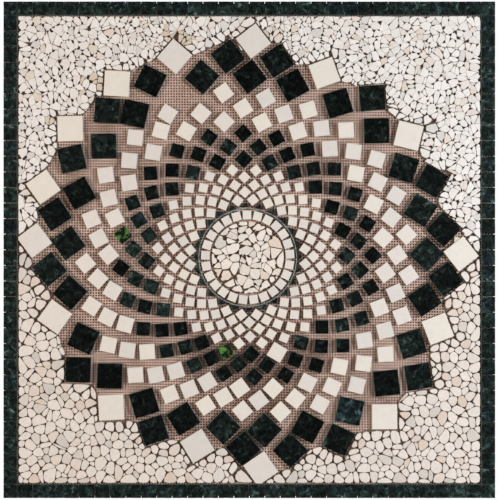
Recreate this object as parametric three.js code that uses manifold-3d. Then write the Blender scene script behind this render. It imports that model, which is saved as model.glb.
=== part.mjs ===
// Square marble mosaic wall panel: a spiral rosette of square tiles glued on a
// glass-fibre net and a brown board, with crushed-marble corners and a border
// of dark green tiles. Millimetres, +Z up. The face looks toward -Y and the
// origin is the middle of the board's flat back.

import * as THREE from 'three';
import { mergeVertices } from 'three/addons/utils/BufferGeometryUtils.js';
import Module from 'manifold-3d';

const wasm = await Module();
wasm.setup();

// Panel and its layers, back to front
const PANEL_W = 900;
const PANEL_H = 909;
const BOARD_T = 6;
const BOARD_INSET = 2;
const NET_T = 0.8;
const NET_INSET = 4;
const GLUE_T = 0.3;
const TILE_T = 8;
const CHIP_T = 7;

// Border of rectangular tiles
const BORDER_W = 25;
const BORDER_TILE_L = 27.4;
const BORDER_JOINT = 1;
const FIELD_JOINT = 2;

// Centre medallion
const CENTRE_X = -3;
const CENTRE_Y = -14;
const DISC_R = 66.5;
const DISC_SIDES = 28;
const CENTRE_SQUARES = 25;
const CENTRE_JOINT = 3;
const LINER_W = 4;
const LINER_JOINT = 2.5;
const TRIANGLE_H = 9;
const TRIANGLE_JOINT = 2.4;

// Rosette: square tiles in rings, every second ring half a column on
const COLUMNS = 24;
const START_ANGLE = 9;
const SMALL = 16;
const GREEN = 24.5;
const MEDIUM = 28;
const LARGE = 46;
const FIRST_GAP = 4.7;
const GAP_GROWTH = 1.15;
const WIDEST_GAP = 12;
const TIP_GAP = 8.5;
const LEAST_GAP = 0.8;
const SETTLE_STEP = 0.4;
const CHIP_JOINT = 2.4;

// Dabs of glue that join the tiles of a ring along its line
const LINK_W = 1.6;
const LINK_H = 0.8;
const LINK_BITE = 5;
const LINK_GAP = 0.4;

// The setting was done by eye: each wave is [amount, count, direction in degrees].
// Turns are in degrees and swells in millimetres.
const INNER_TURN = { by: -0.3, waves: [[0.7, 1, 53], [0.9, 2, -69]] };
const OUTER_TURN = { by: 3.3, waves: [[5.5, 1, 203], [1.3, 2, -4]] };
const MIDDLE_SWELL = { by: -0.9, waves: [[2.3, 1, 143], [5.4, 2, -23]] };
const OUTER_SWELL = { by: 5, waves: [[5, 1, 11], [2.7, 2, -40], [8.4, 3, -39], [8.6, 4, 37]] };
const TURN_FULL = 0.8;
const TURN_EASE = 1.7;
const SWELL_EASE = 1.5;
const SLIP = 0.8;
const TWIST = 2.5;
const FREE_RINGS = 6;
const OUTER_LEAN = 4.5;

// Outer tiles that were set off the pattern: by degrees along the ring, by
// millimetres outward, and some by degrees about their own middle
const NUDGES = [
  { ring: 11, column: 6, turn: -1.5, out: 9 },
  { ring: 11, column: 7, turn: 2.7, out: 0 },
  { ring: 12, column: 5, turn: -2.2, out: 0 },
  { ring: 12, column: 6, turn: -4, out: 12 },
  { ring: 12, column: 7, turn: 3, out: 0 },
  { ring: 12, column: 9, turn: 0, out: 0, lean: 10 },
  { ring: 13, column: 5, turn: -1.8, out: 0 },
  { ring: 13, column: 6, turn: -4.2, out: 0 },
  { ring: 13, column: 7, turn: 2.2, out: 0 },
  { ring: 13, column: 12, turn: -1.7, out: 4 },
  { ring: 13, column: 13, turn: 0, out: 0, lean: 13 },
  { ring: 13, column: 16, turn: 0, out: 10 },
  { ring: 13, column: 20, turn: 0, out: 0, lean: 8 },
  { ring: 14, column: 5, turn: -3, out: 3 },
  { ring: 14, column: 6, turn: 1.8, out: -4 },
  { ring: 14, column: 7, turn: 1.8, out: 2, lean: 7 },
  { ring: 14, column: 8, turn: 1.8, out: 11, lean: -16 },
  { ring: 14, column: 9, turn: 1.9, out: 13 },
  { ring: 14, column: 10, turn: 0, out: 8 },
  { ring: 14, column: 17, turn: -2, out: 1 },
];

// Rings from the middle out
const RINGS = [
  { name: 'small_cream', count: 5, size: SMALL, colour: 'cream' },
  { name: 'small_green', count: 3, size: GREEN, colour: 'green' },
  { name: 'medium_cream', count: 3, size: MEDIUM, colour: 'cream' },
  { name: 'large_green', count: 1, size: LARGE, colour: 'green' },
  { name: 'large_outer', count: 1, size: LARGE, colour: 'mixed' },
  { name: 'large_tip', count: 1, size: LARGE, colour: 'tips' },
];
const OUTER_CREAM = [2, 4, 12, 14, 16, 20, 22];
const TIPS = [5, 6, 7, 8, 9, 10, 17, 23];
const TOP_COLUMN = 5;
const LEFT_COLUMN = 10;
const BOTTOM_COLUMN = 17;
const RIGHT_COLUMN = 23;
const ODD_TILE = { ring: 6, column: 18, size: MEDIUM };

const radians = THREE.MathUtils.degToRad;
const FIELD_W = PANEL_W - 2 * BORDER_W - 2 * FIELD_JOINT;
const FIELD_H = PANEL_H - 2 * BORDER_W - 2 * FIELD_JOINT;
const NET_Z = BOARD_T + GLUE_T;
const TILE_Z = NET_Z + NET_T + GLUE_T;

const LOOKS = {
  board: { color: 0x4a2f24, roughness: 0.9 },
  net: { color: 0xb89a86, roughness: 0.9 },
  green: { color: 0x12241d, roughness: 0.45 },
  cream: { color: 0xe6ddd0, roughness: 0.55 },
  chips: { color: 0xdcd2c6, roughness: 0.65 },
};

const panel = new THREE.Group();
const face = new THREE.Group();
face.rotation.x = Math.PI / 2;
panel.add(face);

function place(name, geometry, look, x = 0, y = 0, z = 0, turn = 0) {
  const material = new THREE.MeshStandardMaterial({ ...LOOKS[look], metalness: 0 });
  const mesh = new THREE.Mesh(geometry, material);
  mesh.name = name;
  mesh.position.set(x, y, z);
  mesh.rotation.z = turn;
  face.add(mesh);
}

// Plain prism from an outline, standing on z = 0
function prism(points, height, hole) {
  const shape = new THREE.Shape(points);
  if (hole) {
    shape.holes.push(new THREE.Path(hole));
  }
  return new THREE.ExtrudeGeometry(shape, { depth: height, bevelEnabled: false });
}

function slab(width, height, thick) {
  const box = new THREE.BoxGeometry(width, height, thick);
  return box.translate(0, 0, thick / 2);
}

// Joining and cutting of closed solids
function solid(geometry) {
  const bare = geometry.clone();
  bare.deleteAttribute('normal');
  bare.deleteAttribute('uv');
  const merged = mergeVertices(bare, 1e-4);
  const mesh = new wasm.Mesh({
    numProp: 3,
    vertProperties: new Float32Array(merged.attributes.position.array),
    triVerts: new Uint32Array(merged.index.array),
  });
  return new wasm.Manifold(mesh);
}

function shell(body) {
  const mesh = body.asOriginal().simplify(1e-3).getMesh();
  const geometry = new THREE.BufferGeometry();
  geometry.setAttribute('position', new THREE.BufferAttribute(mesh.vertProperties, 3));
  geometry.setIndex(new THREE.BufferAttribute(mesh.triVerts, 1));
  geometry.computeVertexNormals();
  return geometry;
}

function joined(bodies) {
  return bodies.reduce((sum, body) => sum.add(body));
}

function largest(body) {
  const parts = body.decompose();
  return parts.reduce((best, part) => (part.volume() > best.volume() ? part : best));
}

// Points on circles
function polar(radius, degrees) {
  const a = radians(degrees);
  return new THREE.Vector2(radius * Math.cos(a), radius * Math.sin(a));
}

function circle(radius, sides, from = 0) {
  return Array.from({ length: sides }, (_, i) => polar(radius, from + (360 * i) / sides));
}

// Same small error each time for the same tile
function error(ring, column, kind) {
  const n = Math.sin(ring * 12.9898 + column * 78.233 + kind * 37.719) * 43758.5453;
  return 2 * (n - Math.floor(n)) - 1;
}

function drift(law, degrees) {
  const wave = ([amount, count, toward]) => amount * Math.cos(radians(count * (degrees - toward)));
  return law.waves.reduce((sum, item) => sum + wave(item), law.by);
}

// Corners of a square tile, counter-clockwise from its outermost one
function corners(tile, grow = 0) {
  const half = (tile.size / 2 + grow) * Math.SQRT2;
  const centre = new THREE.Vector2(tile.x, tile.y);
  return [0, 90, 180, 270].map((q) => polar(half, tile.corner + q).add(centre));
}

// Free distance between two convex outlines, negative where they overlap
function clearance(a, b) {
  let best = -Infinity;
  for (const outline of [a, b]) {
    outline.forEach((point, i) => {
      const side = outline[(i + 1) % outline.length].clone().sub(point);
      const axis = new THREE.Vector2(side.y, -side.x).normalize();
      const pa = a.map((p) => p.dot(axis));
      const pb = b.map((p) => p.dot(axis));
      const ahead = Math.min(...pb) - Math.max(...pa);
      const behind = Math.min(...pa) - Math.max(...pb);
      best = Math.max(best, ahead, behind);
    });
  }
  return best;
}

// Side corner of a tile, ahead or behind along its ring
function sideCorner(tile, toward) {
  const [, ahead, , behind] = corners(tile);
  return toward > 0 ? ahead : behind;
}

// Foot of the dab of glue between two neighbours of a ring
function linkFoot(tile, next) {
  const from = sideCorner(tile, 1);
  const to = sideCorner(next, -1);
  const half = to.clone().sub(from).normalize().multiplyScalar(LINK_W / 2);
  const across = new THREE.Vector2(-half.y, half.x);
  return [from.clone().sub(across), to.clone().sub(across), to.add(across), from.add(across)];
}

// Ring radii: the gap between the sides of tiles half a column apart is set,
// and it widens from ring to ring up to the widest
const rings = RINGS.flatMap((group) => Array.from({ length: group.count }, () => ({ ...group })));
const linerIn = DISC_R + CENTRE_JOINT + SMALL + LINER_JOINT;
const linerOut = linerIn + LINER_W;
const halfStep = Math.PI / COLUMNS;
let radius = linerOut + TRIANGLE_JOINT + SMALL / Math.SQRT2;
rings.forEach((ring, k) => {
  if (k > 0) {
    const widest = ring.colour === 'tips' ? TIP_GAP : WIDEST_GAP;
    const gap = Math.min(FIRST_GAP + GAP_GROWTH * (k - 1), widest);
    const apart = Math.SQRT2 * (gap + (rings[k - 1].size + ring.size) / 2);
    radius = (radius * (1 - halfStep / 2) + apart) / (1 + halfStep / 2);
  }
  ring.radius = radius;
  ring.number = k + 1;
});

// Centre of one tile, before it is set clear of those already laid
const reach = rings[12].radius - rings[0].radius;
function spot(ring, column, push = 0) {
  const out = Math.min(1, (ring.radius - rings[0].radius) / reach);
  const late = Math.min(1, out / TURN_FULL) ** TURN_EASE;
  const plain = START_ANGLE + (360 / COLUMNS) * (column + (ring.number % 2 ? 0 : 0.5));
  const turn = (1 - late) * drift(INNER_TURN, plain) + late * drift(OUTER_TURN, plain);
  const middle = 4 * out * (1 - out) * drift(MIDDLE_SWELL, plain);
  const swell = middle + out ** SWELL_EASE * drift(OUTER_SWELL, plain);
  const nudge = NUDGES.find((item) => item.ring === ring.number && item.column === column);
  const slip = SLIP * Math.min(1, 0.3 + out) * error(ring.number, column, 1);
  const angle = plain + turn + (nudge ? nudge.turn : 0);
  const distance = ring.radius + swell + slip + push + (nudge ? nudge.out : 0);
  return { angle, at: polar(distance, angle), lean: nudge?.lean ?? 0 };
}

// A tile's sides follow the lines of tiles that cross at it: both lines near
// the middle, and only the backward-curving line in the outer rings
function heading(ring, column) {
  const ahead = ring.number % 2 ? column : column + 1;
  const inside = rings[ring.number - 2];
  const outside = rings[ring.number];
  const here = spot(ring, column).at;
  const place = (other, index) => (other ? spot(other, index).at : here);
  const forward = place(outside, ahead).clone().sub(place(inside, ahead - 1));
  const backward = place(outside, ahead - 1).clone().sub(place(inside, ahead));
  const degrees = (line) => THREE.MathUtils.radToDeg(line.angle());
  const home = spot(ring, column).angle;
  const near = (angle) => ((((angle - home) % 360) + 540) % 360) - 180;
  const both = (near(degrees(forward)) + near(degrees(backward))) / 2;
  const back = near(degrees(backward)) + 45 + OUTER_LEAN;
  const share = THREE.MathUtils.clamp((ring.number - FREE_RINGS) / 2, 0, 1);
  return home + both * (1 - share) + back * share;
}

function laid(ring, column, push) {
  const { angle, at, lean } = spot(ring, column, push);
  const odd = ring.number === ODD_TILE.ring && column === ODD_TILE.column;
  return {
    x: at.x,
    y: at.y,
    angle,
    corner: heading(ring, column) + lean + TWIST * error(ring.number, column, 3),
    size: odd ? ODD_TILE.size : ring.size,
    ring: ring.number,
    column,
    odd,
  };
}

const laidTiles = [];
let laidLinks = [];
for (const ring of rings) {
  const linked = ring.colour === 'cream' || ring.colour === 'green';
  const done = [];
  for (let j = 0; j < COLUMNS; j += 1) {
    if (ring.colour === 'tips' && !TIPS.includes(j)) {
      continue;
    }
    const nearby = (shape) => shape[0].distanceTo(laid(ring, j, 0)) < 3 * ring.size;
    const tilesNear = laidTiles.map((tile) => corners(tile)).filter(nearby);
    const linksNear = laidLinks.filter(nearby);
    const fits = (tile) => {
      const foot = linked && done.length > 0 ? linkFoot(done[done.length - 1], tile) : null;
      const own = corners(tile);
      const clear = tilesNear.every((other) => clearance(own, other) >= LEAST_GAP);
      const clearOfLinks = linksNear.every((other) => clearance(own, other) >= LINK_GAP);
      const ownLinkClear = !foot || tilesNear.every((other) => clearance(foot, other) >= LINK_GAP);
      return clear && clearOfLinks && ownLinkClear;
    };
    let push = 0;
    while (!fits(laid(ring, j, push))) {
      push += SETTLE_STEP;
    }
    done.push(laid(ring, j, push));
  }
  ring.tiles = done;
  laidTiles.push(...done);
  laidLinks = linked ? done.map((tile, i) => linkFoot(tile, done[(i + 1) % COLUMNS])) : [];
}

// Backing board and net
place('backing_board', slab(PANEL_W - 2 * BOARD_INSET, PANEL_H - 2 * BOARD_INSET, BOARD_T), 'board');
place(
  'glass_fibre_net',
  slab(PANEL_W - 2 * NET_INSET, PANEL_H - 2 * NET_INSET, NET_T),
  'net',
  0,
  0,
  NET_Z,
);

// Border: each side is a run of tiles with joints cut down to the glue
function strip(length, cornerTiles) {
  const run = length - (cornerTiles ? 2 * BORDER_W + BORDER_JOINT : BORDER_JOINT);
  const count = Math.round(run / (BORDER_TILE_L + BORDER_JOINT));
  const pitch = run / count;
  const joints = Array.from({ length: count + (cornerTiles ? 1 : -1) }, (_, i) => {
    const first = cornerTiles ? BORDER_W + BORDER_JOINT / 2 : BORDER_JOINT / 2 + pitch;
    return first + i * pitch;
  });
  const ends = cornerTiles ? [0, length] : [BORDER_JOINT, length - BORDER_JOINT];
  const points = [new THREE.Vector2(ends[0], 0), new THREE.Vector2(ends[1], 0)];
  points.push(new THREE.Vector2(ends[1], TILE_T));
  for (const at of joints.reverse()) {
    points.push(new THREE.Vector2(at + BORDER_JOINT / 2, TILE_T));
    points.push(new THREE.Vector2(at, LINK_H));
    points.push(new THREE.Vector2(at - BORDER_JOINT / 2, TILE_T));
  }
  points.push(new THREE.Vector2(ends[0], TILE_T));
  const run3d = prism(points, BORDER_W);
  return run3d.rotateX(Math.PI / 2).translate(-length / 2, BORDER_W / 2, 0);
}

const sideRun = PANEL_H - 2 * BORDER_W;
const borderX = (PANEL_W - BORDER_W) / 2;
const borderY = (PANEL_H - BORDER_W) / 2;
place('border_top', strip(PANEL_W, true), 'green', 0, borderY, TILE_Z);
place('border_bottom', strip(PANEL_W, true), 'green', 0, -borderY, TILE_Z);
place('border_left', strip(sideRun, false), 'green', -borderX, 0, TILE_Z, Math.PI / 2);
place('border_right', strip(sideRun, false), 'green', borderX, 0, TILE_Z, Math.PI / 2);

// Centre medallion: chips, a ring of squares, and a green liner with triangles
function atCentre(name, geometry, look) {
  place(name, geometry, look, CENTRE_X, CENTRE_Y, TILE_Z);
}

function block(tile, grow = 0, height = TILE_T) {
  return solid(prism(corners(tile, grow), height));
}

// A ridge of glue between two points, with a three-sided section
function link(from, to) {
  const along = to.clone().sub(from);
  const length = along.length() + 2 * LINK_BITE;
  const half = LINK_W / 2;
  const section = [
    new THREE.Vector2(-half, 0),
    new THREE.Vector2(half, 0),
    new THREE.Vector2(0, LINK_H),
  ];
  const ridge = prism(section, length);
  ridge.rotateX(Math.PI / 2).translate(0, LINK_BITE + along.length(), 0);
  ridge.rotateZ(along.angle() - Math.PI / 2);
  return solid(ridge.translate(from.x, from.y, 0));
}

atCentre('centre_chips_disc', prism(circle(DISC_R, DISC_SIDES), CHIP_T), 'chips');

const squares = Array.from({ length: CENTRE_SQUARES }, (_, i) => {
  const angle = START_ANGLE / 2 + (360 * i) / CENTRE_SQUARES;
  const at = polar(DISC_R + CENTRE_JOINT + SMALL / 2, angle);
  return { x: at.x, y: at.y, angle, corner: angle + 45, size: SMALL };
});
const squareLinks = squares.map((tile, i) => {
  const next = squares[(i + 1) % squares.length];
  const from = polar(SMALL / 2, tile.angle + 90).add(tile);
  const to = polar(SMALL / 2, next.angle - 90).add(next);
  return link(from, to);
});
const squareRing = joined([...squares.map((tile) => block(tile)), ...squareLinks]);
atCentre('centre_cream_squares', shell(squareRing), 'cream');

const first = rings[0].tiles;
const liner = [];
first.forEach((tile, j) => {
  const ahead = first[(j + 1) % first.length];
  const wide = (ahead.angle - tile.angle + 360) % 360;
  const middle = tile.angle + wide / 2;
  const room = radians(wide / 2) * linerOut - TRIANGLE_JOINT * Math.SQRT2;
  const base = THREE.MathUtils.radToDeg(Math.min(room, TRIANGLE_H * 1.1) / linerOut);
  liner.push(polar(linerOut, middle - base));
  liner.push(polar(linerOut + TRIANGLE_H, middle));
  liner.push(polar(linerOut, middle + base));
});
const linerHole = circle(linerIn, COLUMNS * 2).reverse();
atCentre('centre_green_liner_and_triangles', prism(liner, TILE_T, linerHole), 'green');

// Whole rings, each joined along its line by dabs of glue
function ringBody(tiles, closed) {
  const links = [];
  tiles.forEach((tile, i) => {
    if (closed || i < tiles.length - 1) {
      const next = tiles[(i + 1) % tiles.length];
      links.push(link(sideCorner(tile, 1), sideCorner(next, -1)));
    }
  });
  return joined([...tiles.map((tile) => block(tile)), ...links]);
}

const wholeRings = rings.filter((ring) => ['cream', 'green'].includes(ring.colour));
for (const ring of wholeRings) {
  const number = String(ring.number).padStart(2, '0');
  const odd = ring.tiles.findIndex((tile) => tile.odd);
  const tiles = odd < 0 ? ring.tiles : [...ring.tiles.slice(odd + 1), ...ring.tiles.slice(0, odd)];
  const name = `ring_${number}_${ring.name}_tiles`;
  atCentre(name, shell(ringBody(tiles, odd < 0)), ring.colour);
  if (odd >= 0) {
    atCentre('odd_cream_tile', shell(block(ring.tiles[odd])), 'cream');
  }
}

// The field inside the border, in the medallion's own coordinates
const field = slab(FIELD_W, FIELD_H, 3 * TILE_T).translate(-CENTRE_X, -CENTRE_Y, -TILE_T);
const fieldBody = solid(field);
const limits = {
  left: -FIELD_W / 2 - CENTRE_X,
  right: FIELD_W / 2 - CENTRE_X,
  bottom: -FIELD_H / 2 - CENTRE_Y,
  top: FIELD_H / 2 - CENTRE_Y,
};

function inside(point) {
  const across = point.x > limits.left && point.x < limits.right;
  return across && point.y > limits.bottom && point.y < limits.top;
}

// A separate large tile, cut square by the border where it would cross it
function largeTile(name, tile, look) {
  if (corners(tile).every(inside)) {
    const turn = radians(tile.corner - 45);
    const x = CENTRE_X + tile.x;
    const y = CENTRE_Y + tile.y;
    place(name, slab(tile.size, tile.size, TILE_T), look, x, y, TILE_Z, turn);
  } else {
    atCentre(name, shell(block(tile).intersect(fieldBody)), look);
  }
}

const outerTiles = rings.find((ring) => ring.colour === 'mixed').tiles;
const tipTiles = rings.find((ring) => ring.colour === 'tips').tiles;
outerTiles.forEach((tile, i) => {
  const look = OUTER_CREAM.includes(tile.column) ? 'cream' : 'green';
  largeTile(`outer_${look}_tile_${String(i + 1).padStart(2, '0')}`, tile, look);
});
tipTiles.forEach((tile, i) => {
  largeTile(`tip_cream_tile_${i + 1}`, tile, 'cream');
});

// Crushed-marble corners: what is left of the field outside a line drawn
// round the corners of the outermost tiles
function scallops() {
  const line = [];
  outerTiles.forEach((tile, j) => {
    const next = outerTiles[(j + 1) % outerTiles.length];
    const tip = tipTiles.find((other) => other.column === tile.column);
    const [outer, ahead] = corners(tile);
    line.push(outer);
    if (tip) {
      const [tipOuter, tipAhead, , tipBehind] = corners(tip);
      line.push(tipBehind, tipOuter, tipAhead);
    } else {
      line.push(ahead, sideCorner(next, -1));
    }
  });
  const inner = solid(prism(line, CHIP_T));
  const edged = [...outerTiles, ...tipTiles].map((tile) => block(tile, CHIP_JOINT, CHIP_T));
  return joined([inner, ...edged]);
}

const chips = solid(slab(FIELD_W, FIELD_H, CHIP_T).translate(-CENTRE_X, -CENTRE_Y, 0));
const cornersBody = chips.subtract(scallops());
const point = (column) => corners(tipTiles.find((tile) => tile.column === column))[0];

function quarter(name, sideX, up) {
  const edgeX = point(up > 0 ? TOP_COLUMN : BOTTOM_COLUMN).x;
  const edgeY = point(sideX < 0 ? LEFT_COLUMN : RIGHT_COLUMN).y;
  const splitX = edgeX + (sideX * FIELD_JOINT) / 2;
  const splitY = edgeY + (up * FIELD_JOINT) / 2;
  const box = slab(PANEL_W, PANEL_H, 3 * CHIP_T);
  box.translate(splitX + (sideX * PANEL_W) / 2, splitY + (up * PANEL_H) / 2, -CHIP_T);
  atCentre(name, shell(largest(cornersBody.intersect(solid(box)))), 'chips');
}

quarter('chips_top_left', -1, 1);
quarter('chips_top_right', 1, 1);
quarter('chips_bottom_left', -1, -1);
quarter('chips_bottom_right', 1, -1);

export default panel;
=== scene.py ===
import math
import random

import bmesh
import bpy
from mathutils import Matrix, Vector, noise


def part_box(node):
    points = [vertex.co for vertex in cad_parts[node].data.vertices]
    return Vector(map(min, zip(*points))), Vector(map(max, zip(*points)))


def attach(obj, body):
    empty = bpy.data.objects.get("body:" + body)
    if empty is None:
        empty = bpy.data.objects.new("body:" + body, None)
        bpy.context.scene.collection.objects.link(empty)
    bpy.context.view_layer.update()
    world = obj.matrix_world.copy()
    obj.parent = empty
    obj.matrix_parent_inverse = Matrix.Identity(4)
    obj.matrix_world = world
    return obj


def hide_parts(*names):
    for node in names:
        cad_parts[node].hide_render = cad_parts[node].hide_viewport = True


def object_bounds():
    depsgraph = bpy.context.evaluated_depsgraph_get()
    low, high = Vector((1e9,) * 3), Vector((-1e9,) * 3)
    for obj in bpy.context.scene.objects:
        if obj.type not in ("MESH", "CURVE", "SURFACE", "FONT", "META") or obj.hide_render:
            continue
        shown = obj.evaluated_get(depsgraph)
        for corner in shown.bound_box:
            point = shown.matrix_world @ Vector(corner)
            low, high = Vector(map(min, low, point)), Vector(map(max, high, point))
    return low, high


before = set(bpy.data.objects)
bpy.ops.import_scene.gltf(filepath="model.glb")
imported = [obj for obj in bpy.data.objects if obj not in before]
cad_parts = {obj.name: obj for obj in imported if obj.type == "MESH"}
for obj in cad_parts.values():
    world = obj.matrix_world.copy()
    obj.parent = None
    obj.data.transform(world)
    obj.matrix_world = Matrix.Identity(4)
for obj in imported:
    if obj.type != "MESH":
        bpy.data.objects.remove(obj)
cad_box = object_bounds()
random.seed(24)
noise.seed_set(24)
MM = 0.001

# Camera: square on to the panel, from far enough back that it fills the frame.
FRAME_W = 915.0 * MM
VIEW_DISTANCE = 2.3
SENSOR_W = 36.0
VIEW_X = -0.6 * MM
VIEW_Z = -0.4 * MM

camera_data = bpy.data.cameras.new("camera")
camera_data.sensor_width = SENSOR_W
camera_data.lens = SENSOR_W * VIEW_DISTANCE / FRAME_W
camera = bpy.data.objects.new("camera", camera_data)
camera.location = (VIEW_X, cad_box[0].y - VIEW_DISTANCE, VIEW_Z)
camera.rotation_euler = (math.radians(90), 0, 0)
bpy.context.scene.collection.objects.link(camera)
bpy.context.scene.camera = camera
bpy.context.scene.view_settings.view_transform = "Standard"

# Studio: a pale floor well below the panel, white surroundings, and a soft light
# on each side a little above its middle, as for copying flat work, warmer on the left.
# The net between two tiles side by side is in shadow, and between two that stand
# in a column lit.
FLOOR_DROP = 0.9
FLOOR_SIDE = 4.6
AMBIENT = 0.18
SIDE_LIGHT_X = 2.2
SIDE_LIGHT_Y = -1.9
SIDE_LIGHT_Z = 0.2
SIDE_LIGHT_SIZE = 0.4
LEFT_LIGHT_POWER = 40.0
RIGHT_LIGHT_POWER = 71.0


def linear(code):
    """An sRGB hex colour as linear red, green, blue and alpha."""
    channels = [int(code[i : i + 2], 16) / 255 for i in (0, 2, 4)]
    curve = [c / 12.92 if c <= 0.04045 else ((c + 0.055) / 1.055) ** 2.4 for c in channels]
    return (*curve, 1.0)


def add(tree, kind, inputs=None, **settings):
    """A node with its settings, its values and its links."""
    made = tree.nodes.new(kind)
    for key, value in settings.items():
        setattr(made, key, value)
    for socket, value in (inputs or {}).items():
        if isinstance(value, bpy.types.NodeSocket):
            tree.links.new(value, made.inputs[socket])
        else:
            made.inputs[socket].default_value = value
    return made


def new_material(name):
    """An empty material with its tree and shader."""
    material = bpy.data.materials.new(name)
    material.use_nodes = True
    tree = material.node_tree
    tree.nodes.clear()
    shader = add(tree, "ShaderNodeBsdfPrincipled")
    add(tree, "ShaderNodeOutputMaterial", {"Surface": shader.outputs["BSDF"]})
    return material, tree, shader


floor_mesh = bmesh.new()
bmesh.ops.create_grid(floor_mesh, x_segments=1, y_segments=1, size=FLOOR_SIDE / 2)
floor_data = bpy.data.meshes.new("studio_floor")
floor_mesh.to_mesh(floor_data)
floor_mesh.free()
floor = bpy.data.objects.new("studio_floor", floor_data)
floor.location.z = cad_box[0].z - FLOOR_DROP
bpy.context.scene.collection.objects.link(floor)
floor_paint, _, floor_shader = new_material("pale_studio_floor")
floor_shader.inputs["Base Color"].default_value = linear("f2f1ef")
floor_shader.inputs["Roughness"].default_value = 0.9
floor_data.materials.append(floor_paint)

world = bpy.data.worlds.new("white_surroundings")
world.use_nodes = True
sky = world.node_tree
seen = add(sky, "ShaderNodeBackground", {"Color": linear("ffffff"), "Strength": 1.0})
ambient = add(sky, "ShaderNodeBackground", {"Color": linear("ffffff"), "Strength": AMBIENT})
to_camera = add(sky, "ShaderNodeLightPath").outputs["Is Camera Ray"]
both = add(sky, "ShaderNodeMixShader", {0: to_camera, 1: ambient.outputs[0], 2: seen.outputs[0]})
sky.links.new(both.outputs[0], sky.nodes["World Output"].inputs["Surface"])
bpy.context.scene.world = world

for name, side, power, colour in (
    ("left_light", -1, LEFT_LIGHT_POWER, "fff1e3"),
    ("right_light", 1, RIGHT_LIGHT_POWER, "ebf5ff"),
):
    lamp_data = bpy.data.lights.new(name, "AREA")
    lamp_data.shape = "DISK"
    lamp_data.size = SIDE_LIGHT_SIZE
    lamp_data.energy = power
    lamp_data.color = linear(colour)[:3]
    lamp = bpy.data.objects.new(name, lamp_data)
    lamp.location = (side * SIDE_LIGHT_X, SIDE_LIGHT_Y, SIDE_LIGHT_Z)
    lamp.rotation_euler = (-lamp.location).to_track_quat("-Z", "Z").to_euler()
    bpy.context.scene.collection.objects.link(lamp)

# Backing board: 6 mm brown hardboard, seen through the net's openings. Its
# smooth face carries the net, its back has the screen print of the press.
SCREEN_PITCH = 1.6 * MM
BOARD_EDGE = 0.8 * MM
# Depth of the dark face layer: soaked-in adhesive and painted shade
SOAKED_SHADED_T = 1.0 * MM
board_low, board_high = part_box("backing_board")


def block(mesh, centre, size):
    """A rectangular block, added to a mesh."""
    place = Matrix.Translation(centre) @ Matrix.Diagonal((*size, 1))
    bmesh.ops.create_cube(mesh, size=1.0, matrix=place)


def round_edges(mesh, edges, width, steps):
    """Bevels some edges of a mesh round."""
    bmesh.ops.bevel(
        mesh,
        geom=edges[:],
        offset=width,
        segments=steps,
        profile=0.5,
        affect="EDGES",
        material=-1,
    )


def finished(name, mesh, material, *parts):
    """A bmesh made into a piece of the panel that stands for those CAD nodes."""
    data = bpy.data.meshes.new(name)
    mesh.to_mesh(data)
    mesh.free()
    data.materials.append(material)
    piece = bpy.data.objects.new(name, data)
    bpy.context.scene.collection.objects.link(piece)
    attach(piece, "root")
    if parts:
        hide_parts(*parts)
    return piece


def texture(tree, where, size, detail, **extra):
    """Noise with patches of about that size in metres."""
    inputs = {"Vector": where, "Scale": 1 / size, "Detail": detail}
    return add(tree, "ShaderNodeTexNoise", {**inputs, **extra})


def combined(tree, operation, first, second):
    """Two values added, multiplied or compared, as a socket."""
    return add(tree, "ShaderNodeMath", {0: first, 1: second}, operation=operation).outputs[0]


def blend(tree, factor, first, second, how="MIX"):
    """Two colours mixed by a factor, as a socket."""
    inputs = {"Factor": factor, "A": first, "B": second}
    mix = add(tree, "ShaderNodeMix", inputs, data_type="RGBA", blend_type=how)
    return mix.outputs["Result"]


def ranged(tree, value, start, stop, low, high):
    """A value from low to high, as another one goes from start to stop, as a socket."""
    inputs = {"Value": value, "From Min": start, "From Max": stop, "To Min": low, "To Max": high}
    return add(tree, "ShaderNodeMapRange", inputs).outputs["Result"]


def roughen(tree, shader, height, strength, depth):
    """A bump on a surface, from a height."""
    inputs = {"Height": height, "Strength": strength, "Distance": depth}
    bump = add(tree, "ShaderNodeBump", inputs)
    tree.links.new(bump.outputs["Normal"], shader.inputs["Normal"])


board_mesh = bmesh.new()
block(board_mesh, (board_low + board_high) / 2, board_high - board_low)
round_edges(board_mesh, board_mesh.edges, BOARD_EDGE, 2)

# Pressed wood fibre: brown, mottled at a few millimetres, with short fibres. Its face,
# seen only behind the net, is dark: partly adhesive soaked in, partly painted shade.
hardboard, tree, shader = new_material("hardboard_pressed_fibre")
where = add(tree, "ShaderNodeTexCoord").outputs["Object"]
mottle = texture(tree, where, 9 * MM, 5.0).outputs["Fac"]
fibre = texture(tree, where, 0.9 * MM, 3.0).outputs["Fac"]
raw = blend(tree, mottle, linear("5a3c2c"), linear("7d5a44"))
# Painted shade: the face behind the net is darker, partly soaked-in adhesive, partly the shade
# in the net's openings
soaked_and_shaded = blend(tree, mottle, linear("1f110b"), linear("382016"))
split = add(tree, "ShaderNodeSeparateXYZ", {"Vector": where})
shaded_face_side = ranged(tree, split.outputs["Y"], board_low.y, board_low.y + SOAKED_SHADED_T, 1.0, 0.0)
tree.links.new(blend(tree, shaded_face_side, raw, soaked_and_shaded), shader.inputs["Base Color"])
shader.inputs["Roughness"].default_value = 0.85
ridges = []
for axis in ("X", "Z"):
    turns = combined(tree, "MULTIPLY", split.outputs[axis], 2 * math.pi / SCREEN_PITCH)
    ridges.append(add(tree, "ShaderNodeMath", {0: turns}, operation="SINE").outputs[0])
screen = combined(tree, "MULTIPLY", *ridges)
roughen(tree, shader, combined(tree, "ADD", screen, fibre), 0.35, 0.3 * MM)

board = finished("backing_board_sheet", board_mesh, hardboard, "backing_board")

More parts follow.
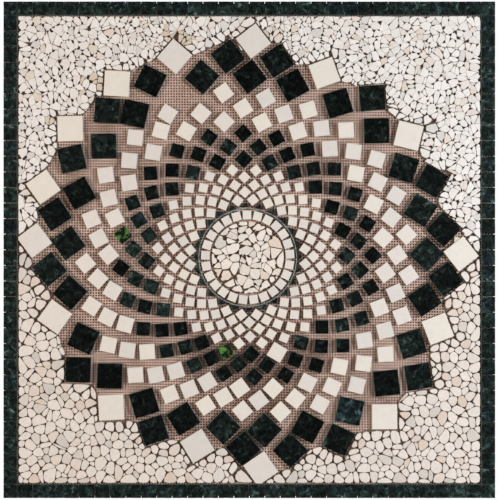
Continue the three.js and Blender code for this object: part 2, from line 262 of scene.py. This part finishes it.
# Glass-fibre net: pale strands crossing at about 5 mm, stuck down with brown
# adhesive, which has run over the strands in places, most below the middle. Real
# strands are about 1 mm wide, too fine to show in the render, so these are 2.1 mm.
NET_PITCH = 4.94 * MM
STRAND_W = 2.1 * MM
STRAND_T = 0.4 * MM
STRAND_CUTS = 14
STRAND_SWAY = 0.8 * MM
SWAY_SCALE = 9.0
CROSSWAYS_AT_MOST = 0.1
SMEAR_AT = (0.02, -0.007, -0.2)
SMEAR_R = 0.17
SMEAR_CORE = 0.3
net_low, net_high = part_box("glass_fibre_net")


def lay_strands(mesh, along, across, depth):
    """Parallel strands along one axis of the net, at that depth."""
    room = net_high[across] - net_low[across] - STRAND_W - 2 * STRAND_SWAY
    count = int(room / NET_PITCH) + 1
    start = (net_low[across] + net_high[across] - (count - 1) * NET_PITCH) / 2
    size = [STRAND_W, STRAND_T, STRAND_W]
    size[along] = net_high[along] - net_low[along] - 2 * STRAND_SWAY
    centre = (net_low + net_high) / 2
    centre.y = depth
    for i in range(count):
        centre[across] = start + i * NET_PITCH
        block(mesh, centre, size)


net_mesh = bmesh.new()
lay_strands(net_mesh, 0, 2, net_low.y + STRAND_T / 2)
lay_strands(net_mesh, 2, 0, net_high.y - STRAND_T / 2)
long_edges = [edge for edge in net_mesh.edges if edge.calc_length() > CROSSWAYS_AT_MOST]
bmesh.ops.subdivide_edges(net_mesh, edges=long_edges, cuts=STRAND_CUTS, use_grid_fill=True)
for vert in net_mesh.verts:
    sway = noise.noise_vector(vert.co * SWAY_SCALE)
    vert.co.x += STRAND_SWAY * sway.x
    vert.co.z += STRAND_SWAY * sway.z
bmesh.ops.recalc_face_normals(net_mesh, faces=net_mesh.faces)

# Glass-fibre yarn in cured adhesive: pinkish cream, twisted finely, stained brown
net_yarn, tree, shader = new_material("glass_fibre_yarn")
where = add(tree, "ShaderNodeTexCoord").outputs["Object"]
stain = texture(tree, where, 60 * MM, 4.0).outputs["Fac"]
speck = texture(tree, where, 2.5 * MM, 2.0).outputs["Fac"]
away = add(tree, "ShaderNodeVectorMath", {0: where, 1: SMEAR_AT}, operation="DISTANCE")
smear = ranged(tree, away.outputs["Value"], SMEAR_CORE * SMEAR_R, SMEAR_R, 0.25, 0.0)
smeared = combined(tree, "ADD", combined(tree, "ADD", stain, speck), smear)
soiled = ranged(tree, smeared, 0.9, 1.3, 0.0, 0.9)
yarn_colour = blend(tree, soiled, linear("cfb09f"), linear("7a5a49"))
tree.links.new(yarn_colour, shader.inputs["Base Color"])
shader.inputs["Roughness"].default_value = 0.75
roughen(tree, shader, texture(tree, where, 0.5 * MM, 2.0).outputs["Fac"], 0.4, 0.1 * MM)

net = finished("glass_fibre_net_strands", net_mesh, net_yarn, "glass_fibre_net")

# Stone tiles: sawn and honed marble, each one glued to the net by hand. Every
# tile starts from the flat front that the CAD gives it, so it lies where that does.
ARRIS = 0.5 * MM
RIM_CUTS = 3
RIM_WEAR = 0.25 * MM
TILE_SINK = 0.35 * MM
WELD = 0.002 * MM
LEVEL = 0.01 * MM
SAME_PLANE = 0.01
disc_low, disc_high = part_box("centre_chips_disc")
rosette = (disc_low + disc_high) / 2

# The tone of a stone is a number from 0 to 1. These few stand out in the photo:
# how far right of and above the rosette's middle they lie, in millimetres, and the tone.
MOSSY = 0.97
SLATE = 0.86
CLOUDY = 0.92
BRIGHT = 1.0
DULL = 0.2
ODD_STONES = [
    (-41, -170, MOSSY),
    (-229, 44, MOSSY),
    (-94, 164, CLOUDY),
    (-173, 39, CLOUDY),
    (-206, 18, CLOUDY),
    (-177, -52, CLOUDY),
    (-159, -96, CLOUDY),
    (-220, -79, CLOUDY),
    (188, -284, SLATE),
    (-212, 60, SLATE),
    (-380, 135, BRIGHT),
    (-330, 239, BRIGHT),
    (-238, 318, BRIGHT),
    (-133, 350, BRIGHT),
    (8, 393, DULL),
]
ODD_REACH = 16 * MM


def from_spot(point, right=0.0, up=0.0):
    """How far a point lies from a spot, given in millimetres from the rosette's middle."""
    return math.hypot(point.x - rosette.x - right * MM, point.z - rosette.z - up * MM)


def flat_fronts(node):
    """The front of a CAD node, with one face for each tile."""
    work = bmesh.new()
    work.from_mesh(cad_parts[node].data)
    bmesh.ops.remove_doubles(work, verts=work.verts, dist=WELD)
    front = min(vert.co.y for vert in work.verts)
    behind = [f for f in work.faces if max(v.co.y for v in f.verts) > front + LEVEL]
    bmesh.ops.delete(work, geom=behind, context="FACES")
    bmesh.ops.dissolve_limit(
        work, angle_limit=SAME_PLANE, verts=work.verts[:], edges=work.edges[:]
    )
    return work


def tone_of(centre, lowest, highest):
    """The tone of the stone there: its own if it stands out, else by chance."""
    for right, up, own in ODD_STONES:
        if from_spot(centre, right, up) < ODD_REACH:
            return own
    return random.uniform(lowest, highest)


def draw_back(mesh, front, back):
    """Sides and a back at that depth behind a flat front, and the back's corners."""
    grown = bmesh.ops.extrude_face_region(mesh, geom=[front], use_keep_orig=True)
    corners = [item for item in grown["geom"] if isinstance(item, bmesh.types.BMVert)]
    for vert in corners:
        vert.co.y = back
    return corners


def cut_stone(stone, outline, back, tag, shade):
    """One tile: its outline, worn a little at the rim, drawn back to the net."""
    sink = random.uniform(0, TILE_SINK)
    verts = []
    for point in outline:
        tilt = random.uniform(0, TILE_SINK / 3)
        verts.append(stone.verts.new(point + Vector((0, sink + tilt, 0))))
    top = stone.faces.new(verts)
    cut = bmesh.ops.subdivide_edges(stone, edges=top.edges[:], cuts=RIM_CUTS)
    centre = top.calc_center_median()
    inner = {item for item in cut["geom_inner"] if isinstance(item, bmesh.types.BMVert)}
    for vert in [loop.vert for loop in top.loops if loop.vert in inner]:
        inward = (centre - vert.co).normalized()
        vert.co += inward * random.uniform(0, RIM_WEAR)
    for vert in [*draw_back(stone, top, back), *top.verts]:
        vert[tag] = shade
    round_edges(stone, top.edges, ARRIS, 2)


def lay_tiles(name, marble, slot, part, lowest=0.0, highest=1.0):
    """The tiles of a CAD node as a set of separate stones, with tones in that range."""
    stone = bmesh.new()
    tag = stone.verts.layers.float.new("stone")
    fronts = flat_fronts(part)
    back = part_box(part)[1].y
    for face in fronts.faces:
        shade = tone_of(face.calc_center_median(), lowest, highest)
        cut_stone(stone, [loop.vert.co.copy() for loop in face.loops], back, tag, shade)
    fronts.free()
    bmesh.ops.recalc_face_normals(stone, faces=stone.faces)
    piece = finished(name, stone, marble, part)


def own_place(tree, spread):
    """Each stone's tone, and its place moved by that tone so that no two look alike."""
    where = add(tree, "ShaderNodeTexCoord").outputs["Object"]
    tone = add(tree, "ShaderNodeAttribute", attribute_name="stone")
    inputs = {0: tone.outputs["Vector"], 1: spread}
    shift = add(tree, "ShaderNodeVectorMath", inputs, operation="MULTIPLY")
    place = add(tree, "ShaderNodeVectorMath", {0: where, 1: shift.outputs[0]}, operation="ADD")
    return tone.outputs["Fac"], place.outputs[0]


def colours_along(tree, value, stops):
    """The colour that a value from 0 to 1 picks from those stops, as a socket."""
    ramp = add(tree, "ShaderNodeValToRGB", {"Fac": value})
    ends = ramp.color_ramp.elements[0], ramp.color_ramp.elements[1]
    for element, (at, code) in zip(ends, (stops[0], stops[-1])):
        element.position = at
        element.color = linear(code)
    for at, code in stops[1:-1]:
        ramp.color_ramp.elements.new(at).color = linear(code)
    return ramp.outputs["Color"]


def veins(tree, place, cloud, waver, size, strength):
    """How much of a vein there is: along the edges of cells, wavering with the clouds."""
    inputs = {"Factor": waver, "A": place, "B": cloud.outputs["Color"]}
    bend = add(tree, "ShaderNodeMix", inputs, data_type="VECTOR").outputs["Result"]
    inputs = {"Vector": bend, "Scale": 1 / size}
    cells = add(tree, "ShaderNodeTexVoronoi", inputs, feature="DISTANCE_TO_EDGE")
    return ranged(tree, cells.outputs["Distance"], 0.0, VEIN_W, strength, 0.0)


# Cream marble, honed: nearly even ivory with faint clouds and a rare grey vein.
# A vein's width is a share of its cell's size.
CREAM_CLOUD = 14 * MM
CREAM_VEIN = 22 * MM
GRAIN = 1.1 * MM
VEIN_W = 0.05
CREAM_TONES = ((0.0, "f2f1ef"), (0.5, "fbf7f4"), (1.0, "fffcf5"))
cream_marble, tree, shader = new_material("honed_cream_marble")
tone, place = own_place(tree, (3.1, 1.7, 2.3))
cloud = texture(tree, place, CREAM_CLOUD, 5.0)
grain = texture(tree, place, GRAIN, 2.0).outputs["Fac"]
vein = veins(tree, place, cloud, 0.02, CREAM_VEIN, 0.18)
clouded_vein = combined(tree, "MULTIPLY", vein, cloud.outputs["Fac"])
warm = blend(tree, cloud.outputs["Fac"], linear("e4ded6"), linear("dcd3cb"))
own = colours_along(tree, tone, CREAM_TONES)
veined = blend(tree, clouded_vein, blend(tree, 1.0, warm, own, "MULTIPLY"), linear("b8a694"))
tree.links.new(veined, shader.inputs["Base Color"])
tree.links.new(ranged(tree, grain, 0.0, 1.0, 0.4, 0.6), shader.inputs["Roughness"])
shader.inputs["IOR"].default_value = 1.5
roughen(tree, shader, grain, 0.15, 0.1 * MM)

# Green marble, honed: almost black green with teal clouds and thin pale threads,
# lighter in the border than in the rosette. Its sides and arrises are pale grey: partly sawn
# stone, partly a painted highlight.
# Mossy stones have bright green clouds, and a tone of 1 is a strip stood on edge.
GREEN_CLOUD = 11 * MM
GREEN_VEIN = 9 * MM
GREEN_CLOUDS = ((0.34, "080c0b"), (0.48, "131716"), (0.6, "2a3834"), (0.74, "78928a"))
GREEN_TONES = (
    (0.0, "827e7c"),
    (0.35, "a5a19f"),
    (0.55, "cac6c4"),
    (0.62, "e6e4e2"),
    (0.66, "d6d6d3"),
    (0.8, "f2f8f8"),
    (0.86, "dfe6f8"),
    (0.9, "ffffff"),
    (1.0, "ffffff"),
)
ROSETTE_TONES = (0.0, 0.6)
BORDER_TONES = (0.66, 0.9)
green_marble, tree, shader = new_material("honed_green_marble")
tone, place = own_place(tree, (2.7, 3.9, 1.3))
cloud = texture(tree, place, GREEN_CLOUD, 6.0, Roughness=0.65, Distortion=0.8)
grain = texture(tree, place, GRAIN, 3.0).outputs["Fac"]
vein = veins(tree, place, cloud, 0.03, GREEN_VEIN, 0.35)
patches = colours_along(tree, cloud.outputs["Fac"], GREEN_CLOUDS)
own = colours_along(tree, tone, GREEN_TONES)
polished = blend(tree, 1.0, blend(tree, vein, patches, linear("42594f")), own, "MULTIPLY")
on_edge = ranged(tree, tone, 0.98, 0.99, 0.0, 1.0)
mossy_stone = add(
    tree,
    "ShaderNodeMath",
    {0: ranged(tree, tone, 0.94, 0.96, 0.0, 1.0), 1: on_edge},
    operation="SUBTRACT",
    use_clamp=True,
).outputs[0]
moss_cloud = ranged(tree, cloud.outputs["Fac"], 0.47, 0.6, 0.0, 1.0)
moss_colour = blend(tree, moss_cloud, linear("141a13"), linear("56803f"))
mossy = blend(tree, mossy_stone, polished, moss_colour)
normal = add(tree, "ShaderNodeNewGeometry").outputs["True Normal"]
facing = add(tree, "ShaderNodeSeparateXYZ", {"Vector": normal}).outputs["Y"]
upright = add(tree, "ShaderNodeMath", {0: facing}, operation="ABSOLUTE").outputs[0]
# Painted highlight: faces turned from the front, the arrises most, are painted pale, partly the
# grey of sawn stone, partly a highlight along each tile's rim
sawn_highlit_side = ranged(tree, upright, 0.98, 0.75, 0.0, 0.8)
sawn_and_highlit = combined(tree, "MAXIMUM", sawn_highlit_side, on_edge)
sawn_grey_and_highlight_colour = blend(tree, on_edge, linear("7b7f79"), linear("929d98"))
tree.links.new(blend(tree, sawn_and_highlit, mossy, sawn_grey_and_highlight_colour), shader.inputs["Base Color"])
tree.links.new(ranged(tree, grain, 0.0, 1.0, 0.35, 0.5), shader.inputs["Roughness"])
shader.inputs["IOR"].default_value = 1.55
shader.inputs["Specular IOR Level"].default_value = 0.04
roughen(tree, shader, grain, 0.12, 0.1 * MM)

for node in sorted(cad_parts):
    if node.startswith("border_"):
        lay_tiles(f"{node}_marble_tiles", green_marble, "green_marble", node, *BORDER_TONES)
    elif node in ("odd_cream_tile", "centre_cream_squares"):
        lay_tiles(f"{node}_of_marble", cream_marble, "cream_marble", node)
    elif node.startswith(("ring_", "outer_", "tip_")):
        if "cream" in node:
            lay_tiles(f"{node}_in_marble", cream_marble, "cream_marble", node)
        else:
            lay_tiles(f"{node}_in_marble", green_marble, "green_marble", node, *ROSETTE_TONES)

# Green liner and triangles: thin strips of green marble stood on edge round the
# cream squares, their pale sawn edge in front, and a small triangle in each notch
# of the first ring.
LINER_STRIPS = 24
LINER_ROOM = 1.35 * MM
STRIP_JOINT = 0.5 * MM
EDGE_ON = 1.0
# The triangles are painted lighter than the rosette's green: painted light against the shade of
# their taller neighbours
LIGHTENED_TRIANGLE_TONES = (0.7, 0.9)
TRIANGLE_SHARE = 0.95
TIP_SLACK = 0.5 * MM
FOOT_SLACK = 1.0 * MM
liner_node = "centre_green_liner_and_triangles"
fronts = flat_fronts(liner_node)
points = [vert.co.copy() for vert in fronts.verts]
fronts.free()
front_y = min(point.y for point in points)
inner_r = min(from_spot(point) for point in points)
tip_r = max(from_spot(point) for point in points)
tips = [p for p in points if from_spot(p) > tip_r - TIP_SLACK]
feet = [p for p in points if inner_r + FOOT_SLACK < from_spot(p) < tip_r - FOOT_SLACK]
base_r = min(from_spot(p) for p in feet)


def on_front(radius, angle):
    """A point on the front of the liner, from the rosette's middle."""
    x = rosette.x + radius * math.cos(angle)
    return Vector((x, front_y, rosette.z + radius * math.sin(angle)))


liner = bmesh.new()
tag = liner.verts.layers.float.new("stone")
liner_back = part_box(liner_node)[1].y
inner = inner_r + LINER_ROOM
outer = base_r - LINER_ROOM
for i in range(LINER_STRIPS):
    start = 2 * math.pi * i / LINER_STRIPS + STRIP_JOINT / base_r
    stop = 2 * math.pi * (i + 1) / LINER_STRIPS - STRIP_JOINT / base_r
    ends = ((inner, start), (outer, start), (outer, stop), (inner, stop))
    cut_stone(liner, [on_front(*end) for end in ends], liner_back, tag, EDGE_ON)
for tip in tips:
    pair = sorted(feet, key=lambda p: (p - tip).length)[:2]
    middle = (tip + pair[0] + pair[1]) / 3
    outline = [middle.lerp(corner, TRIANGLE_SHARE) for corner in (tip, *pair)]
    cut_stone(liner, outline, liner_back, tag, random.uniform(*LIGHTENED_TRIANGLE_TONES))
bmesh.ops.recalc_face_normals(liner, faces=liner.faces)
piece = finished("centre_green_strips_and_triangles", liner, green_marble, liner_node)

# Marble chips: crushed cream marble, angular in the upper half and the centre,
# tumbled to pebbles in the lower half, pressed close together into brown adhesive.
# Every chip is its share of the bed between its neighbours, worn round. Two
# patches beside the top tip were filled with finer chips, and four hold straw-coloured
# ones. A patch is so far right of and above the rosette's middle, and so wide.
FINE_PATCHES = [(-150, 405, 62), (68, 415, 45)]
FINE_SHARE = 0.75
FINE_STEP = 0.6
STRAW_PATCHES = [(-125, 405, 30), (36, 414, 14), (-284, 313, 24), (-357, 252, 16)]
STRAW_SHARE = 0.6
STRAW = 0.99
HIGHEST_TONE = 0.96

# What a kind of chip is like: millimetres from one to the next, how unevenly they lie,
# the joint in millimetres, how much their sizes vary, how far a corner can be broken
# off, how round they are worn, and the width of the worn rim in millimetres and its steps.
CHIP_TRAITS = ("pitch", "spread", "joint", "range", "broken", "wear", "rim", "steps")
CHIP_KINDS = {
    "angular": (12.3, 0.46, 0.18, 0.3, 0.48, 0.0, 0.45, 1),
    "centre": (14.6, 0.4, 0.5, 0.3, 0.5, 0.0, 0.6, 1),
    "tumbled": (15.8, 0.27, 0.12, 0.26, 0.14, 0.42, 1.0, 2),
}
CHIPPED_SHARE = 0.6
EDGE_CHIPS = (0.8, 0.98)
ROW_PITCH = 0.9
CELL_REACH = 1.9
NEIGHBOUR_REACH = 3.6
NEIGHBOURS = 22
LEAST_CHIP = 0.22
SHORTEST_SIDE = 1.5 * MM
SAME_SPOT = 0.5 * MM
ON_SIDE = 0.1 * MM
LEAST_TOUCH = 0.2 * MM
PARALLEL = 1e-12
CHIP_SINK = 1.2 * MM
CHIP_LEAN = 0.06
LEAN_SINK = 0.3 * MM
LEAST_RIM = 0.25 * MM
RIM_SHARE = 0.8
ADHESIVE_T = 0.16 * MM
ADHESIVE_GAP = 0.07 * MM


def in_patch(point, patches):
    """Whether a point lies in one of the round patches."""
    return any(from_spot(point, right, up) < across * MM for right, up, across in patches)


def scatter(bed_low, bed_high, pitch, spread, size_range):
    """Seeds of chips with their sizes, spread unevenly over a rectangle."""
    seeds = []
    rows = int((bed_high.z - bed_low.z) / (ROW_PITCH * pitch)) + 3
    columns = int((bed_high.x - bed_low.x) / pitch) + 3
    for row in range(-1, rows):
        for column in range(-1, columns):
            shifted = column + 0.5 * (row % 2)
            x = bed_low.x + shifted * pitch + random.gauss(0, spread) * pitch
            z = bed_low.z + row * pitch * ROW_PITCH + random.gauss(0, spread) * pitch
            weight = random.uniform(-size_range, size_range) * pitch * pitch
            seed = Vector((x, 0, z))
            seeds.append((seed, weight))
            if in_patch(seed, FINE_PATCHES) and random.random() < FINE_SHARE:
                right = random.uniform(-FINE_STEP, FINE_STEP)
                up = random.uniform(-FINE_STEP, FINE_STEP)
                seeds.append((seed + Vector((right, 0, up)) * pitch, weight))
    return seeds


def bed_corners(node):
    """The corners of a bed's front, in one direction round it."""
    fronts = flat_fronts(node)
    widest = max(fronts.faces, key=lambda f: f.calc_area())
    corners = [Vector((loop.vert.co.x, 0, loop.vert.co.z)) for loop in widest.loops]
    fronts.free()
    if sum(p.x * q.z - q.x * p.z for p, q in zip(corners, corners[1:] + corners[:1])) < 0:
        corners.reverse()
    return corners


def in_bed(point, sides):
    """Whether a point lies within the sides of a bed."""
    crossings = 0
    for a, b, _ in sides:
        if (a.z > point.z) != (b.z > point.z):
            at = a.x + (point.z - a.z) / (b.z - a.z) * (b.x - a.x)
            crossings += point.x < at
    return crossings % 2 == 1


def touches(point, side):
    """Whether a point lies on that side of a bed."""
    a, b, inward = side
    along = (b - a).normalized()
    flat = Vector((point.x, 0, point.z)) - a
    return abs(flat.dot(inward)) < ON_SIDE and 0 < flat.dot(along) < (b - a).length


def side_within(walls, a, b):
    """Length of a bed's side a to b that lies within a chip's walls."""
    direction = b - a
    enter, leave = 0.0, 1.0
    for point, inward in walls:
        start = (a - point).dot(inward)
        change = direction.dot(inward)
        if abs(change) < PARALLEL:
            if start < 0:
                return 0.0
            continue
        at = -start / change
        if change > 0:
            enter = max(enter, at)
        else:
            leave = min(leave, at)
    return max(0.0, leave - enter) * direction.length


def walls_of(face):
    """A point on each side of a flat convex face, and the direction inward from it."""
    middle = face.calc_center_median()
    walls = []
    for edge in face.edges:
        p, q = (vert.co for vert in edge.verts)
        inward = Vector(((q - p).z, 0, -(q - p).x)).normalized()
        if (middle - p).dot(inward) < 0:
            inward = -inward
        walls.append((p, inward))
    return walls


def trim(cell, point, outward):
    """Cuts away what lies beyond a line through point."""
    bmesh.ops.bisect_plane(
        cell,
        geom=cell.verts[:] + cell.edges[:] + cell.faces[:],
        plane_co=point,
        plane_no=outward,
        clear_outer=True,
    )
    return bool(cell.faces)


def chip_outline(seed, weight, near, sides, reach, joint, all_round):
    """A chip's flat shape: its share of the bed, less half a joint all round."""
    cell = bmesh.new()
    stand = Matrix.Translation(seed) @ Matrix.Rotation(math.radians(90), 4, "X")
    bmesh.ops.create_grid(cell, x_segments=1, y_segments=1, size=reach, matrix=stand)
    for other, other_weight in near:
        step = other - seed
        gap = step.length
        if gap < SAME_SPOT:
            continue
        share = 0.5 + (weight - other_weight) / (2 * gap * gap)
        line = seed + step * share - step.normalized() * joint / 2
        if not trim(cell, line, step):
            return cell
    cuts = []
    for a, b, inward in sides:
        height = (seed - a).dot(inward)
        if height > 0:
            cuts.append((height, a, b, inward))
    for height, a, b, inward in sorted(cuts, key=lambda cut: -cut[0]):
        if height > 2 * reach or not cell.faces:
            continue
        walls = walls_of(cell.faces[:][0])
        if all_round or side_within(walls, a, b) > LEAST_TOUCH:
            trim(cell, a, -inward)
    return cell


def add_chip(bed, outline, front, back, chip, tag):
    """Rounds a chip's outline, gives it thickness and a worn rim, and beds it."""
    centre = outline.faces[:][0].calc_center_median()
    tips = {vert.co.to_tuple(6) for vert in outline.verts}
    bmesh.ops.subdivide_edges(outline, edges=outline.edges[:], cuts=1)
    for vert in outline.verts:
        if vert.co.to_tuple(6) in tips and random.random() < CHIPPED_SHARE:
            vert.co = vert.co.lerp(centre, random.uniform(0, chip["broken"]))
    bmesh.ops.smooth_vert(
        outline, verts=outline.verts[:], factor=chip["wear"], use_axis_x=True, use_axis_z=True
    )
    sink = random.uniform(0.0, CHIP_SINK)
    lean_x = random.uniform(-CHIP_LEAN, CHIP_LEAN)
    lean = Vector((lean_x, 0, random.uniform(-CHIP_LEAN, CHIP_LEAN)))
    if in_patch(centre, STRAW_PATCHES) and random.random() < STRAW_SHARE:
        shade = STRAW
    else:
        shade = random.uniform(0, HIGHEST_TONE)
    verts = []
    for loop in outline.faces[:][0].loops:
        slope = (loop.vert.co - centre).dot(lean)
        depth = front + sink + max(0.0, slope + LEAN_SINK)
        verts.append(bed.verts.new((loop.vert.co.x, depth, loop.vert.co.z)))
    top = bed.faces.new(verts)
    shortest = min(edge.calc_length() for edge in top.edges)
    for vert in [*draw_back(bed, top, back), *top.verts]:
        vert[tag] = shade
    width = min(chip["rim"] * MM, max(LEAST_RIM, shortest * RIM_SHARE))
    round_edges(bed, top.edges, width, chip["steps"])


def fill_bed(name, node, kind, marble):
    """Chips over a whole bed as separate stones cut by its outline, and their adhesive."""
    chip = dict(zip(CHIP_TRAITS, CHIP_KINDS[kind]))
    pitch = chip["pitch"] * MM
    bed_low, bed_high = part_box(node)
    corners = bed_corners(node)
    following = corners[1:] + corners[:1]
    sides = []
    for a, b in zip(corners, following):
        run = b - a
        sides.append((a, b, Vector((-run.z, 0, run.x)).normalized()))

    # A round bed, and the sides of a bed that no border tile keeps straight
    after = corners[2:] + corners[:2]
    all_round = all((q - p).cross(r - q).y < 0 for p, q, r in zip(corners, following, after))
    straight = (bed_low.x, bed_high.x, bed_low.z, bed_high.z)
    ragged = []
    for a, b, inward in sides:
        level = a.x if abs(inward.x) > abs(inward.z) else a.z
        slanted = min(abs(inward.x), abs(inward.z)) > SAME_PLANE
        if slanted or min(abs(level - edge) for edge in straight) > ON_SIDE:
            ragged.append((a, b, inward))

    scattered = scatter(bed_low, bed_high, pitch, chip["spread"], chip["range"])
    seeds = [item for item in scattered if in_bed(item[0], sides)]
    bed = bmesh.new()
    tag = bed.verts.layers.float.new("stone")
    for seed, weight in seeds:
        reach = NEIGHBOUR_REACH * pitch
        near = [item for item in seeds if 0 < (item[0] - seed).length < reach]
        near.sort(key=lambda item: (item[0] - seed).length)
        near = near[:NEIGHBOURS]
        joint = chip["joint"] * MM
        outline = chip_outline(seed, weight, near, sides, CELL_REACH * pitch, joint, all_round)
        bmesh.ops.remove_doubles(outline, verts=outline.verts, dist=SHORTEST_SIDE)
        if outline.faces and outline.faces[:][0].calc_area() > (LEAST_CHIP * pitch) ** 2:
            if any(touches(vert.co, side) for vert in outline.verts for side in ragged):
                middle = outline.faces[:][0].calc_center_median()
                smaller = random.uniform(*EDGE_CHIPS)
                for vert in outline.verts:
                    vert.co = middle.lerp(vert.co, smaller)
            add_chip(bed, outline, bed_low.y, bed_high.y, chip, tag)
        outline.free()
    bmesh.ops.recalc_face_normals(bed, faces=bed.faces)
    piece = finished(name, bed, marble, node)

    glue = bmesh.new()
    front = bed_high.y + ADHESIVE_GAP
    film = glue.faces.new([glue.verts.new((p.x, front, p.z)) for p in corners])
    draw_back(glue, film, front + ADHESIVE_T)
    bmesh.ops.recalc_face_normals(glue, faces=glue.faces)
    finished(f"{node}_adhesive", glue, adhesive)


# Crushed marble, unpolished: ivory, with a few grey, pink and, last, straw-coloured
# stones. The tumbled stones are a little darker and warmer than the crushed ones.
CHIP_TONES = (
    (0.0, "dedad4"),
    (0.05, "e4ded7"),
    (0.12, "eee8e1"),
    (0.3, "f3ede6"),
    (0.6, "f8f2ec"),
    (0.8, "f4ece4"),
    (0.88, "efe4da"),
    (0.92, "ecddd2"),
    (0.965, "e8dbc9"),
    (1.0, "d9c9b2"),
)


def chip_marble(name, tint):
    """A kind of crushed marble with that tint."""
    marble, tree, shader = new_material(name)
    tone, place = own_place(tree, (1.9, 2.9, 3.7))
    cloud = texture(tree, place, 5 * MM, 5.0).outputs["Fac"]
    grain = texture(tree, place, 0.9 * MM, 3.0).outputs["Fac"]
    clouded = blend(tree, cloud, linear("ffffff"), linear("e2d8d0"))
    mixed = blend(tree, 1.0, colours_along(tree, tone, CHIP_TONES), clouded, "MULTIPLY")
    tinted = blend(tree, 1.0, mixed, linear(tint), "MULTIPLY")
    tree.links.new(tinted, shader.inputs["Base Color"])
    shader.inputs["Roughness"].default_value = 0.62
    shader.inputs["IOR"].default_value = 1.5
    roughen(tree, shader, grain, 0.3, 0.2 * MM)
    return marble


crushed_marble = chip_marble("crushed_white_marble", "fbfdff")
centre_marble = chip_marble("crushed_cream_marble", "fcf9f5")
tumbled_marble = chip_marble("tumbled_cream_marble", "f3f0ed")

# Tile adhesive, trowelled thin and cured: dull dark brown, a little uneven
adhesive, tree, shader = new_material("cured_tile_adhesive")
where = add(tree, "ShaderNodeTexCoord").outputs["Object"]
lumps = texture(tree, where, 5 * MM, 4.0).outputs["Fac"]
glue_colour = blend(tree, lumps, linear("44332a"), linear("7a6556"))
tree.links.new(glue_colour, shader.inputs["Base Color"])
shader.inputs["Roughness"].default_value = 0.8
roughen(tree, shader, lumps, 0.5, 0.5 * MM)

fill_bed("chips_top_left_stones", "chips_top_left", "angular", crushed_marble)
fill_bed("chips_top_right_stones", "chips_top_right", "angular", crushed_marble)
fill_bed("chips_bottom_left_stones", "chips_bottom_left", "tumbled", tumbled_marble)
fill_bed("chips_bottom_right_stones", "chips_bottom_right", "tumbled", tumbled_marble)
fill_bed("centre_disc_stones", "centre_chips_disc", "centre", centre_marble)
